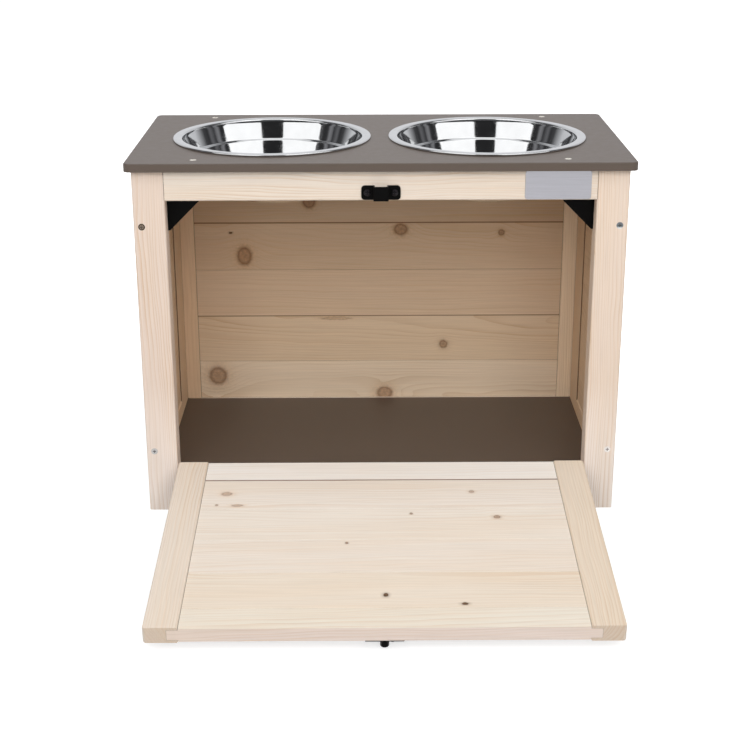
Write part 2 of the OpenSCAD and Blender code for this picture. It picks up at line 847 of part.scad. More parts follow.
top_panel();
front_leg(left);  // front_left_leg
front_leg(right);  // front_right_leg
rear_leg(left);  // rear_left_leg
rear_leg(right);  // rear_right_leg
front_top_rail();
front_bottom_rail();
rear_top_rail();
rear_bottom_rail();
side_stile(left, false);  // left_front_stile
side_stile(left, true);  // left_rear_stile
side_top_rail(left);  // left_top_rail
side_bottom_rail(left);  // left_bottom_rail
side_boards(left);  // left_side_boards
side_stile(right, false);  // right_front_stile
side_stile(right, true);  // right_rear_stile
side_top_rail(right);  // right_top_rail
side_bottom_rail(right);  // right_bottom_rail
side_boards(right);  // right_side_boards
back_board(1);  // back_board_1
back_board(2);  // back_board_2
back_board(3);  // back_board_3
back_board(4);  // back_board_4
back_board(5);  // back_board_5
back_board(6);  // back_board_6
floor_panel();
corner_bracket(left);  // left_corner_bracket
corner_bracket(right);  // right_corner_bracket
bracket_screws();
keeper();
keeper_screws();
leg_screws();
top_screws();
bowl(left);  // left_bowl
bowl(right);  // right_bowl
hinge_rail_leaf(left);  // left_hinge_rail_leaf
hinge_rail_leaf(right);  // right_hinge_rail_leaf
hinge_pin(left);  // left_hinge_pin
hinge_pin(right);  // right_hinge_pin
hinge_rail_screws();
hinge_flap_leaf(left);  // left_hinge_flap_leaf
hinge_flap_leaf(right);  // right_hinge_flap_leaf
hinge_flap_screws();
flap_stile(left);  // flap_left_stile
flap_stile(right);  // flap_right_stile
flap_board(1);  // flap_board_1
flap_board(2);  // flap_board_2
flap_board(3);  // flap_board_3
flap_board(4);  // flap_board_4
flap_board(5);  // flap_board_5
flap_board(6);  // flap_board_6
bolt_base_plate();
bolt_screws();
bolt_rod();
bolt_knob();
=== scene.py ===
"""Dog feeder stand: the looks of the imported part, section by section as the stand is put together."""

import json
from math import acos, cos, pi, radians, sin, tan

import bmesh
import bpy
from mathutils import Matrix, Quaternion, Vector


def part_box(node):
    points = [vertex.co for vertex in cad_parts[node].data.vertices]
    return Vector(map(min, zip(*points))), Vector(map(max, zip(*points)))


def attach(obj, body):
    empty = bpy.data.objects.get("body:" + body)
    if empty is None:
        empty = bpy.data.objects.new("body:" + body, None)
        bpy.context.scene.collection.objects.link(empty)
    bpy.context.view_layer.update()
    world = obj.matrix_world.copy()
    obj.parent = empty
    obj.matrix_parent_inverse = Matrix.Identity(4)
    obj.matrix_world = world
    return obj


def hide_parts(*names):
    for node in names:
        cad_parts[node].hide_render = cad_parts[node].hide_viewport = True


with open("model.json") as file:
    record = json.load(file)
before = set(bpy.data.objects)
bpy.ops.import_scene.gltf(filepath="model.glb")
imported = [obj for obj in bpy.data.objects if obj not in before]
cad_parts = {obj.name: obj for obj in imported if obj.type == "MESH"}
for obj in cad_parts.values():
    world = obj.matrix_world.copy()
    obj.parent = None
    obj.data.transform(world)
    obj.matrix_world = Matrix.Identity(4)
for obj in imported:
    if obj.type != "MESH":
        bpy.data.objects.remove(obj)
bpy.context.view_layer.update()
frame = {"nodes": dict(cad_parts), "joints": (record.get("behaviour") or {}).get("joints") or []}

# Rear frame: two legs and two rails of planed spruce, 28 mm thick, with softly rounded edges.
# The rails butt between the legs. The wood is left raw, so it is pale and nearly matt.
RIGHTWARDS = Vector((1, 0, 0))
BACKWARDS = Vector((0, 1, 0))
UPWARDS = Vector((0, 0, 1))
# The wood's figure is measured in millimetres from the ground under the middle of the front face
MM = 0.001
FACE = Vector((0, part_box("front_left_leg")[0].y, 0))
# A colour mix's sockets by number: the second colour's share and the two colours, then the result
SHARE, FIRST, SECOND = 0, 6, 7
MIXED = 2


def linear(code):
    """An sRGB hex colour as the linear RGBA that shader sockets take."""
    parts = [int(code[i:i + 2], 16) / 255 for i in (1, 3, 5)]
    return tuple(p / 12.92 if p <= 0.04045 else ((p + 0.055) / 1.055) ** 2.4 for p in parts) + (1.0,)


def add(tree, kind, inputs=None, **settings):
    """Adds a node; an input is linked where it is given a socket, and set where it is given a value."""
    made = tree.nodes.new(kind)
    for name, value in settings.items():
        setattr(made, name, value)
    for name, value in (inputs or {}).items():
        if isinstance(value, bpy.types.NodeSocket):
            tree.links.new(value, made.inputs[name])
        else:
            made.inputs[name].default_value = value
    return made


def new_material(name):
    """A new material, its node tree and its surface shader."""
    material = bpy.data.materials.new(name)
    material.use_nodes = True
    return material, material.node_tree, material.node_tree.nodes["Principled BSDF"]


def dress(node, material):
    """Gives a solid of the frame its finish."""
    slots = frame["nodes"][node].data.materials
    slots.clear()
    slots.append(material)


# Spruce knot: the cross-cut of a branch, brown with a darker bark line and a yellowed halo, in millimetres.
# The rings of the board swell round it.
KNOT_RAGGED = 2.4
KNOT_SWELL_FALL = -0.16
# How many to a millimetre: the waves of a knot's edge, and the streaks over it
KNOT_WAVES = 0.22
KNOT_STREAKS = 0.3
# From a knot's heart to where its halo ends: how far out, the colour, and how well it covers the wood
HALO_RADII = 2.5
KNOT_HEART = ("#9A6D48", 0.72)
KNOT_TONES = ((0.22, "#A5764E", 0.66), (0.33, "#7C5030", 0.78), (0.4, "#A0714A", 0.5),
              (0.5, "#C89F75", 0.26), (0.7, "#D9B78F", 0.12))
HALO_END = ("#DDBE97", 0.0)
knot = bpy.data.node_groups.new("spruce_knot", "ShaderNodeTree")
for socket, kind in (("Board", "Vector"), ("Place", "Vector"), ("Size", "Vector"), ("Depth", "Float"),
                     ("Shade", "Float")):
    knot.interface.new_socket(socket, in_out="INPUT", socket_type=f"NodeSocket{kind}")
for socket, kind in (("Swell", "Float"), ("Colour", "Color"), ("Cover", "Float")):
    knot.interface.new_socket(socket, in_out="OUTPUT", socket_type=f"NodeSocket{kind}")
given = add(knot, "NodeGroupInput").outputs
away = add(knot, "ShaderNodeVectorMath", {0: given["Board"], 1: given["Place"]},
           operation="SUBTRACT").outputs[0]
ragged = add(knot, "ShaderNodeTexNoise", {"Vector": away, "Scale": KNOT_WAVES,
                                          "Detail": 2.0}).outputs["Color"]
ragged = add(knot, "ShaderNodeVectorMath", {0: ragged, 1: (KNOT_RAGGED, KNOT_RAGGED, 0),
                                            2: (-KNOT_RAGGED / 2, -KNOT_RAGGED / 2, 0)},
             operation="MULTIPLY_ADD").outputs[0]
away = add(knot, "ShaderNodeVectorMath", {0: away, 1: ragged}, operation="ADD").outputs[0]
away = add(knot, "ShaderNodeVectorMath", {0: away, 1: given["Size"]}, operation="DIVIDE").outputs[0]
away = add(knot, "ShaderNodeVectorMath", {0: away, 1: (1, 1, 0)}, operation="MULTIPLY").outputs[0]
radii = add(knot, "ShaderNodeVectorMath", {0: away}, operation="LENGTH").outputs["Value"]
fall = add(knot, "ShaderNodeMath", {0: radii, 1: radii}, operation="MULTIPLY").outputs[0]
fall = add(knot, "ShaderNodeMath", {0: fall, 1: KNOT_SWELL_FALL}, operation="MULTIPLY").outputs[0]
fall = add(knot, "ShaderNodeMath", {0: fall}, operation="EXPONENT").outputs[0]
outwards = add(knot, "ShaderNodeMath", {0: radii, 1: 1 / HALO_RADII}, operation="MULTIPLY").outputs[0]
ramp = add(knot, "ShaderNodeValToRGB", {"Fac": outwards})
stops = ramp.color_ramp.elements
for stop, (code, cover) in ((stops[0], KNOT_HEART), (stops[1], HALO_END)):
    stop.color = linear(code)[:3] + (cover,)
for place, code, cover in KNOT_TONES:
    stops.new(place).color = linear(code)[:3] + (cover,)
streaks = add(knot, "ShaderNodeTexNoise", {"Vector": given["Board"], "Scale": KNOT_STREAKS,
                                           "Detail": 4.0}).outputs[0]
streaks = add(knot, "ShaderNodeMapRange", {"Value": streaks, "From Min": 0.32, "From Max": 0.68,
                                           "To Min": 0.6, "To Max": 1.35}).outputs[0]
streaks = add(knot, "ShaderNodeMath", {0: streaks, 1: given["Shade"]}, operation="MULTIPLY").outputs[0]
brown = add(knot, "ShaderNodeVectorMath", {0: ramp.outputs["Color"], "Scale": streaks},
            operation="SCALE").outputs[0]
cover = add(knot, "ShaderNodeMath", {0: ramp.outputs["Alpha"], 1: given["Depth"]},
            operation="MULTIPLY").outputs[0]
add(knot, "NodeGroupOutput", {"Swell": fall, "Colour": brown, "Cover": cover})

# Raw spruce: narrow tan late wood between wide pale early wood, in long lines or arches as the saw met it.
# Planed and left without a finish, it has only a faint sheen. Sizes are in millimetres, along and across.
WANDER_L = 190
WANDER_W = 46
WANDER_BY = 14
KNOT_SWELL = 0.9
# Good years and bad ones change over some 14 mm
YEARS_SCALE = 0.07
YEARS_VARY = 4.0
LATE_SHARPNESS = 3.5
PATCH_L = 320
PATCH_W = 30
# Fibres are 0.03 mm thick; drawn 1.1 mm wide, so that they show
FIBRE_L = 60
FIBRE_W = 1.1
LATE_WOOD = "#CDA87E"
PATCH = "#E3CBB0"
END_GRAIN = "#B8946E"
CRACK_SHADOW_TONE = "#5E3C24"
SEAM_SHADOW_TONE = "#7A4E30"
JOINT_SHADE_AND_DUST = "#402814"


def spruce(node, along, across, pith, origin=FACE, tone="#E6DACD", ring=3.4, lean=(0.006, 0.004), show=0.6,
           knots=(), inside=None, inner="#EACCAB", shelter=(0.2, 0.5), crack=None, seams=(), painted_foot_light=None):
    """Sawn spruce as a solid: rings round a pith, in millimetres along, across and through the piece.

    The pith lies across and through from the piece's middle, and the rings lean off along the length.
    A knot is its place, its two radii, its cover and its shade; a seam shadow its height, half width and
    strength.
    Faces that look inside have the inner tone, partly painted shade; faces that look to a crack get painted
    shade.
    """
    material, tree, shader = new_material(f"spruce_{node}")
    through = along.cross(across)
    turn = Matrix((along, across, through)).transposed().to_euler()
    low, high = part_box(node)
    middle = ((low + high) / 2 - origin) / MM
    heart = (0, middle.dot(across) + pith[0], middle.dot(through) + pith[1])
    coords = add(tree, "ShaderNodeTexCoord").outputs
    board = add(tree, "ShaderNodeMapping", {"Vector": coords["Object"], "Location": origin, "Rotation": turn,
                                            "Scale": (MM, MM, MM)}, vector_type="TEXTURE").outputs[0]
    place = add(tree, "ShaderNodeSeparateXYZ", {0: board}).outputs
    # The trunk was never quite straight: the rings wander by some millimetres over a hand's length
    slow = add(tree, "ShaderNodeVectorMath", {0: board, 1: (1 / WANDER_L, 1 / WANDER_W, 1 / WANDER_W)},
               operation="MULTIPLY").outputs[0]
    wander = add(tree, "ShaderNodeTexNoise", {"Vector": slow, "Scale": 1.0, "Detail": 2.5}).outputs["Color"]
    to_pith = (0, -WANDER_BY / 2 - heart[1], -WANDER_BY / 2 - heart[2])
    wander = add(tree, "ShaderNodeVectorMath", {0: wander, 1: (0, WANDER_BY, WANDER_BY), 2: to_pith},
                 operation="MULTIPLY_ADD").outputs[0]
    rings = add(tree, "ShaderNodeVectorMath", {0: board, 1: wander}, operation="ADD").outputs[0]
    drift = add(tree, "ShaderNodeVectorMath", {0: (0, *lean), "Scale": place["X"]},
                operation="SCALE").outputs[0]
    rings = add(tree, "ShaderNodeVectorMath", {0: rings, 1: drift}, operation="ADD").outputs[0]
    rings = add(tree, "ShaderNodeVectorMath", {0: rings, 1: (0, 1, 1)}, operation="MULTIPLY").outputs[0]
    rings = add(tree, "ShaderNodeVectorMath", {0: rings}, operation="LENGTH").outputs["Value"]
    branches = []
    for u, v, radius_u, radius_v, depth, darkness in knots:
        branch = add(tree, "ShaderNodeGroup", {"Board": board, "Place": (u, v, 0), "Depth": depth,
                                               "Size": (radius_u, radius_v, 1), "Shade": darkness},
                     node_tree=knot).outputs
        branches.append(branch)
        rings = add(tree, "ShaderNodeMath", {0: branch["Swell"], 1: radius_v * KNOT_SWELL, 2: rings},
                    operation="MULTIPLY_ADD").outputs[0]
    # Each year's ring darkens slowly to its late wood and ends sharply; good years are wider
    years = add(tree, "ShaderNodeTexNoise", {"W": rings, "Scale": YEARS_SCALE, "Detail": 1.0},
                noise_dimensions="1D").outputs[0]
    years = add(tree, "ShaderNodeMath", {0: years, 1: YEARS_VARY}, operation="MULTIPLY").outputs[0]
    years = add(tree, "ShaderNodeMath", {0: rings, 1: 1 / ring, 2: years},
                operation="MULTIPLY_ADD").outputs[0]
    years = add(tree, "ShaderNodeMath", {0: years}, operation="FRACT").outputs[0]
    late = add(tree, "ShaderNodeMath", {0: years, 1: LATE_SHARPNESS}, operation="POWER").outputs[0]
    strong = add(tree, "ShaderNodeTexNoise", {"Vector": slow, "Scale": 0.8, "Detail": 1.0}).outputs[0]
    strong = add(tree, "ShaderNodeMapRange", {"Value": strong, "From Min": 0.35, "From Max": 0.7,
                                              "To Min": 0.2, "To Max": 1.0}).outputs[0]
    late = add(tree, "ShaderNodeMath", {0: late, 1: strong}, operation="MULTIPLY").outputs[0]
    late_share = add(tree, "ShaderNodeMath", {0: late, 1: show}, operation="MULTIPLY").outputs[0]
    early = linear(tone)
    if painted_foot_light:
        # Painted light: towards its foot the piece is made paler, against the shade there
        foot, waist, pale = painted_foot_light
        foot_light = add(tree, "ShaderNodeMapRange", {"Value": place["X"], "From Min": foot, "From Max": waist,
                                                   "To Min": 1.0, "To Max": 0.0}).outputs[0]
        early = add(tree, "ShaderNodeMix", {SHARE: foot_light, FIRST: early, SECOND: linear(pale)},
                    data_type="RGBA").outputs[MIXED]
    if inside:
        # Inner faces take the inner tone, partly painted light and shade: warm, dark shade inside the
        # cabinet
        sheltered = add(tree, "ShaderNodeVectorMath", {0: coords["Normal"], 1: inside},
                        operation="DOT_PRODUCT").outputs["Value"]
        sheltered = add(tree, "ShaderNodeMapRange", {"Value": sheltered, "From Min": shelter[0],
                                                     "From Max": shelter[1]}).outputs[0]
        early = add(tree, "ShaderNodeMix", {SHARE: sheltered, FIRST: early, SECOND: linear(inner)},
                    data_type="RGBA").outputs[MIXED]
    colour = add(tree, "ShaderNodeMix", {SHARE: late_share, FIRST: early, SECOND: linear(LATE_WOOD)},
                 data_type="RGBA").outputs[MIXED]
    # Broad pinkish and yellowish patches along the grain
    broad = add(tree, "ShaderNodeVectorMath", {0: board, 1: (1 / PATCH_L, 1 / PATCH_W, 1 / PATCH_W)},
                operation="MULTIPLY").outputs[0]
    broad = add(tree, "ShaderNodeTexNoise", {"Vector": broad, "Scale": 1.0, "Detail": 3.0}).outputs[0]
    broad = add(tree, "ShaderNodeMapRange", {"Value": broad, "From Min": 0.4, "From Max": 0.75,
                                             "To Min": 0.0, "To Max": 0.35}).outputs[0]
    colour = add(tree, "ShaderNodeMix", {SHARE: broad, FIRST: colour, SECOND: linear(PATCH)},
                 data_type="RGBA").outputs[MIXED]
    fibre = add(tree, "ShaderNodeVectorMath", {0: board, 1: (1 / FIBRE_L, 1 / FIBRE_W, 1 / FIBRE_W)},
                operation="MULTIPLY").outputs[0]
    fibre = add(tree, "ShaderNodeTexNoise", {"Vector": fibre, "Scale": 1.0, "Detail": 3.0}).outputs[0]
    shade = add(tree, "ShaderNodeMapRange", {"Value": fibre, "From Min": 0.3, "From Max": 0.7,
                                             "To Min": 0.94, "To Max": 1.035}).outputs[0]
    colour = add(tree, "ShaderNodeVectorMath", {0: colour, "Scale": shade}, operation="SCALE").outputs[0]
    for branch in branches:
        colour = add(tree, "ShaderNodeMix", {SHARE: branch["Cover"], FIRST: colour,
                                             SECOND: branch["Colour"]}, data_type="RGBA").outputs[MIXED]
    # End grain drinks in the light, so it is a shade darker and browner
    facing = add(tree, "ShaderNodeVectorMath", {0: coords["Normal"], 1: along},
                 operation="DOT_PRODUCT").outputs["Value"]
    facing = add(tree, "ShaderNodeMath", {0: facing}, operation="ABSOLUTE").outputs[0]
    facing = add(tree, "ShaderNodeMapRange", {"Value": facing, "From Min": 0.75, "From Max": 0.98,
                                              "To Min": 0.0, "To Max": 0.3}).outputs[0]
    colour = add(tree, "ShaderNodeMix", {SHARE: facing, FIRST: colour, SECOND: linear(END_GRAIN)},
                 data_type="RGBA").outputs[MIXED]
    if crack:
        # Painted shade: a stile's edge beside the boards' dry ends is darkened, as a gap's shadow
        gap = add(tree, "ShaderNodeVectorMath", {0: coords["Normal"], 1: crack},
                  operation="DOT_PRODUCT").outputs["Value"]
        gap = add(tree, "ShaderNodeMapRange", {"Value": gap, "From Min": 0.25, "From Max": 0.6,
                                               "To Min": 0.0, "To Max": 0.9}).outputs[0]
        colour = add(tree, "ShaderNodeMix", {SHARE: gap, FIRST: colour, SECOND: linear(CRACK_SHADOW_TONE)},
                     data_type="RGBA").outputs[MIXED]
    # Painted shadow lines along the arrises of a wide joint, where the gap's shade falls
    for seam, half, strength in seams:
        off = add(tree, "ShaderNodeMath", {0: place["Y"], 1: seam}, operation="SUBTRACT").outputs[0]
        off = add(tree, "ShaderNodeMath", {0: off}, operation="ABSOLUTE").outputs[0]
        off = add(tree, "ShaderNodeMapRange", {"Value": off, "From Min": half, "From Max": half * 2,
                                               "To Min": strength, "To Max": 0.0}).outputs[0]
        colour = add(tree, "ShaderNodeMix", {SHARE: off, FIRST: colour, SECOND: linear(SEAM_SHADOW_TONE)},
                     data_type="RGBA").outputs[MIXED]
    # Painted shade and dust darken the joints, within two millimetres of where pieces meet
    nook = add(tree, "ShaderNodeAmbientOcclusion", {"Distance": 2 * MM}, samples=8).outputs["AO"]
    nook = add(tree, "ShaderNodeMapRange", {"Value": nook, "From Min": 0.15, "From Max": 0.75,
                                            "To Min": 0.85, "To Max": 0.0}).outputs[0]
    colour = add(tree, "ShaderNodeMix", {SHARE: nook, FIRST: colour, SECOND: linear(JOINT_SHADE_AND_DUST)},
                 data_type="RGBA").outputs[MIXED]
    tree.links.new(colour, shader.inputs["Base Color"])
    relief = add(tree, "ShaderNodeMath", {0: late, 1: fibre}, operation="ADD").outputs[0]
    bump = add(tree, "ShaderNodeBump", {"Height": relief, "Strength": 0.25, "Distance": 0.2 * MM}).outputs[0]
    tree.links.new(bump, shader.inputs["Normal"])
    shader.inputs["Roughness"].default_value = 0.62
    shader.inputs["Specular IOR Level"].default_value = 0.2
    dress(node, material)


# Their faces inside the cabinet take a warmer inner tone, as painted shade.
spruce("rear_left_leg", UPWARDS, RIGHTWARDS, (70, 24), inside=(RIGHTWARDS - BACKWARDS).normalized(),
       inner="#EACAA8")
spruce("rear_right_leg", UPWARDS, RIGHTWARDS, (-64, -30), inside=(-RIGHTWARDS - BACKWARDS).normalized(),
       inner="#F8E0C2")
spruce("rear_top_rail", RIGHTWARDS, UPWARDS, (42, 40))
spruce("rear_bottom_rail", RIGHTWARDS, UPWARDS, (-50, 46))

# Side frames: stiles and rails of 19 mm spruce round a field of tongue-and-groove boards.
# The boards' stubs sit dry in grooves of the stiles, so each can move with the weather.
# All but the outer faces take the inner tone, a warmer painted shade.
NOT_OUTSIDE = (-0.6, -0.2)
for side, sense in (("left", 1), ("right", -1)):
    inward = RIGHTWARDS * sense
    spruce(f"{side}_front_stile", UPWARDS, BACKWARDS, (60 * sense, 50), inside=inward, shelter=NOT_OUTSIDE)
    spruce(f"{side}_rear_stile", UPWARDS, BACKWARDS, (-75, 36 * sense), inside=inward, shelter=NOT_OUTSIDE,
           crack=-BACKWARDS)
    spruce(f"{side}_top_rail", BACKWARDS, UPWARDS, (30 * sense, 44), inside=inward, shelter=NOT_OUTSIDE)
    spruce(f"{side}_bottom_rail", BACKWARDS, UPWARDS, (-38, -40 * sense), inside=inward, shelter=NOT_OUTSIDE)
    spruce(f"{side}_side_boards", BACKWARDS, UPWARDS, (20, 60 * sense), ring=4.0, lean=(0.02, 0.03),
           inside=inward, shelter=NOT_OUTSIDE)

# Back wall: six tongue-and-groove spruce boards, 16 mm thick, whose ends sit in grooves of the rear legs.
# They are the cheaper grade, with large sound knots and one streak of resin.
# Each has its pith, its inner tone, darker upwards as painted shade, its knots and painted shadows on its
# seams.
wall_boards = (
    ("back_board_1", (-34, 46), "#F0DABF",
     ((-229, 78, 13, 13.5, 1.0, 0.95), (8, 51, 11.5, 9.5, 1.0, 0.95)), ()),
    ("back_board_2", (30, 34), "#E5CBAC",
     ((91, 124, 6, 6, 1.0, 0.75), (-60, 163, 22, 2.4, 0.6, 1.05)), ((166.8, 0.5, 0.6),)),
    ("back_board_3", (70, -26), "#E0C4A6", (), ((166.8, 0.5, 0.6),)),
    ("back_board_4", (44, 52), "#DABD9E",
     ((-186, 254, 10.5, 13.5, 1.0, 0.95), (30, 291, 10, 8.5, 1.0, 0.9), (169, 286, 4.6, 4.6, 1.0, 0.8),
      (-204, 287, 2.2, 1.5, 1.4, 0.3)), ((300.8, 0.6, 0.75),)),
    ("back_board_5", (-48, 30), "#CEB193", ((-95.5, 330, 9, 9, 1.0, 0.8),), ((300.8, 0.6, 0.75),)),
    ("back_board_6", (36, -40), "#CDB193", (), ()),
)
for board_name, pith, inner, knots, seams in wall_boards:
    spruce(board_name, RIGHTWARDS, UPWARDS, pith, ring=4.2, lean=(0.02, 0.03), show=0.75, knots=knots,
           inside=-BACKWARDS, inner=inner, shelter=NOT_OUTSIDE, seams=seams)

# Floor panel: 10 mm board with a taupe melamine face, pushed into grooves of the side frames.
# The face is calendered, so it is smooth with a soft sheen and a fine mottle.
MOTTLE = 0.009
# The press plate's texture is about 0.2 mm; drawn at 1.5 mm, so that it shows
PRESS_TEXTURE = 0.0015


def melamine(node, dark, pale, edge_shade):
    """Taupe melamine on chipboard, mottled between two tones, with darker sawn edges."""
    material, tree, shader = new_material(f"taupe_melamine_{node}")
    coords = add(tree, "ShaderNodeTexCoord").outputs
    mottle = add(tree, "ShaderNodeTexNoise", {"Vector": coords["Object"], "Scale": 1 / MOTTLE, "Detail": 5.0,
                                              "Roughness": 0.6}).outputs[0]
    mottle = add(tree, "ShaderNodeMapRange", {"Value": mottle, "From Min": 0.3, "From Max": 0.7}).outputs[0]
    tones = add(tree, "ShaderNodeMix", {SHARE: mottle, FIRST: linear(dark), SECOND: linear(pale)},
                data_type="RGBA").outputs[MIXED]
    # The sawn edges take a darker tone, as painted shade
    edge = add(tree, "ShaderNodeSeparateXYZ", {0: coords["Normal"]}).outputs["Z"]
    edge = add(tree, "ShaderNodeMath", {0: edge}, operation="ABSOLUTE").outputs[0]
    edge = add(tree, "ShaderNodeMapRange", {"Value": edge, "From Min": 0.3, "From Max": 0.7,
                                            "To Min": 1.0, "To Max": 0.0}).outputs[0]
    tones = add(tree, "ShaderNodeMix", {SHARE: edge, FIRST: tones, SECOND: linear(edge_shade)},
                data_type="RGBA").outputs[MIXED]
    tree.links.new(tones, shader.inputs["Base Color"])
    sheen = add(tree, "ShaderNodeMapRange", {"Value": mottle, "To Min": 0.4, "To Max": 0.48}).outputs[0]
    tree.links.new(sheen, shader.inputs["Roughness"])
    skin = add(tree, "ShaderNodeTexNoise", {"Vector": coords["Object"], "Scale": 1 / PRESS_TEXTURE,
                                            "Detail": 2.0}).outputs[0]
    bump = add(tree, "ShaderNodeBump", {"Height": skin, "Strength": 0.12, "Distance": 0.2 * MM}).outputs[0]
    tree.links.new(bump, shader.inputs["Normal"])
    dress(node, material)


EDGE_SHADE_TONE = "#554940"
# The floor panel's tones are darker than the top panel's: painted shade for the inside of the cabinet.
melamine("floor_panel", "#53473E", "#5C5047", EDGE_SHADE_TONE)

# Front frame: two legs and two rails like the rear ones, cut from clearer wood.
# The legs are screwed through their faces into the side frames' stiles; their feet are paler, as painted
# light.
# Between these heights, in millimetres, the painted light at the feet fades out
FOOT = 20
WAIST = 170
spruce("front_left_leg", UPWARDS, RIGHTWARDS, (-58, 40), tone="#E4D2C5", ring=2.9, show=0.95,
       painted_foot_light=(FOOT, WAIST, "#FAEEE6"))
spruce("front_right_leg", UPWARDS, RIGHTWARDS, (66, 34), tone="#E7D5C6", ring=2.9, show=0.95,
       painted_foot_light=(FOOT, WAIST, "#FCF2EB"))
spruce("front_top_rail", RIGHTWARDS, UPWARDS, (36, 44), show=0.75)
spruce("front_bottom_rail", RIGHTWARDS, UPWARDS, (-40, 52))

# Hinges: two pressed steel butt hinges between the bottom rail and the flap, with a drawn pin in each.
# Each leaf is held by countersunk screws. All of it is zinc plated: grey, cloudy and half bright.
SPANGLE = 0.004


def mottled(tree, coords, size, dark, pale, detail=3.0):
    """A cloudy pattern of a size in metres, and the colour between two tones that it gives."""
    cloud = add(tree, "ShaderNodeTexNoise", {"Vector": coords, "Scale": 1 / size,
                                             "Detail": detail}).outputs[0]
    tones = add(tree, "ShaderNodeMix", {SHARE: cloud, FIRST: linear(dark), SECOND: linear(pale)},
                data_type="RGBA").outputs[MIXED]
    return cloud, tones


zinc, tree, shader = new_material("zinc_plated_steel")
coords = add(tree, "ShaderNodeTexCoord").outputs["Object"]
spangle, tones = mottled(tree, coords, SPANGLE, "#9A9DA0", "#C6C9CC")
tree.links.new(tones, shader.inputs["Base Color"])
dulling = add(tree, "ShaderNodeMapRange", {"Value": spangle, "To Min": 0.28, "To Max": 0.46}).outputs[0]
tree.links.new(dulling, shader.inputs["Roughness"])
shader.inputs["Metallic"].default_value = 1.0
for hinge_part in ("left_hinge_rail_leaf", "right_hinge_rail_leaf", "left_hinge_flap_leaf",
                   "right_hinge_flap_leaf", "left_hinge_pin", "right_hinge_pin", "hinge_rail_screws",
                   "hinge_flap_screws"):
    dress(hinge_part, zinc)

# Flap: two stiles and six tongue-and-groove boards of clear spruce, drawn here with the flap let down.
# It is measured upwards from the ground as it stands when it is shut, so its knots keep their places.
# Each board has its pith, its inner tone, its knots and the painted shadow on its seam; board 1 is paler,
# painted light by the hinge.
hinge = next(joint for joint in frame["joints"] if joint["name"] == "flap_hinge")
swing = Matrix.Rotation(radians(hinge["range_deg"][1]), 3, "X")
flap_up = swing @ UPWARDS
flap_in = swing @ BACKWARDS
flap_ground = Vector(hinge["pos_m"]) - flap_up * hinge["pos_m"][2]
spruce("flap_left_stile", flap_up, RIGHTWARDS, (66, 40), flap_ground, inside=flap_in, inner="#E5D8CA")
spruce("flap_right_stile", flap_up, RIGHTWARDS, (-50, 34), flap_ground, show=0.7, inside=flap_in,
       inner="#E3D4C2")
flap_boards = (
    ("flap_board_1", (-60, 30), "#F3EDE6", (), ((91.0, 0.8, 0.8),)),
    ("flap_board_2", (52, -44), "#EBE1D6",
     ((-186, 123, 6.5, 4.5, 0.8, 1.0), (-171.5, 150, 7, 2.6, 0.8, 1.0), (-196, 149, 1.8, 1.8, 0.9, 0.7),
      (108, 120, 3.4, 3, 0.8, 0.9)), ((91.0, 0.8, 0.8),)),
    ("flap_board_3", (-70, 42), "#EAE0D4",
     ((34, 170, 1.8, 1.8, 1.1, 0.6), (134, 178, 4.2, 3.4, 1.0, 0.75)), ()),
    ("flap_board_4", (64, 40), "#E9DED2", ((-41, 233, 1.8, 1.6, 1.2, 0.5),), ()),
    ("flap_board_5", (-48, 38), "#E7DACA", ((2, 336, 2.8, 3, 1.4, 0.3), (86, 353, 3.6, 2, 1.4, 0.35)), ()),
    ("flap_board_6", (54, 46), "#E7DED0", (), ()),
)
for board_name, pith, inner, knots, seams in flap_boards:
    spruce(board_name, RIGHTWARDS, flap_up, pith, flap_ground, tone="#EADAD0", ring=3.8, lean=(0.02, 0.02),
           show=0.45, knots=knots, inside=flap_in, inner=inner, seams=seams)

# Barrel bolt: a pressed steel base plate with a guide, and a turned rod that slides in it.
# Both are powder coated black, so they are dark with a fine orange-peel skin.
ORANGE_PEEL = 0.0012
powder, tree, shader = new_material("black_powder_coated_steel")
coords = add(tree, "ShaderNodeTexCoord").outputs["Object"]
peel, tones = mottled(tree, coords, ORANGE_PEEL, "#040404", "#090808", detail=2.0)
tree.links.new(tones, shader.inputs["Base Color"])
bump = add(tree, "ShaderNodeBump", {"Height": peel, "Strength": 0.3, "Distance": 0.1 * MM}).outputs[0]
tree.links.new(bump, shader.inputs["Normal"])
shader.inputs["Roughness"].default_value = 0.5
shader.inputs["Specular IOR Level"].default_value = 0.06
for bolt_part in ("bolt_base_plate", "bolt_rod"):
    dress(bolt_part, powder)

# Bolt knob: a turned steel knob that screws into the rod, with the same black coat.
# Its coat is lightened to a soft grey, a painted sheen.
SHEEN_PATCH = 0.003
knob_sheen, tree, shader = new_material("black_steel_painted_sheen")
coords = add(tree, "ShaderNodeTexCoord").outputs["Object"]
_, tones = mottled(tree, coords, SHEEN_PATCH, "#343231", "#4C4A48")
tree.links.new(tones, shader.inputs["Base Color"])
shader.inputs["Roughness"].default_value = 0.42
shader.inputs["Specular IOR Level"].default_value = 0.3
dress("bolt_knob", knob_sheen)

# Black screws: the small ones of the bolt, the keeper and the brackets, dipped in black oxide and oil.
# Their turned heads keep a dark metal shine, and their recesses are darkened with painted shade.
OXIDE_BLOOM = 0.0015
RECESS_SHADE_REACH = 0.0015
oxide, tree, shader = new_material("black_oxide_steel")
coords = add(tree, "ShaderNodeTexCoord").outputs["Object"]
_, tones = mottled(tree, coords, OXIDE_BLOOM, "#1F1D1F", "#423F43")
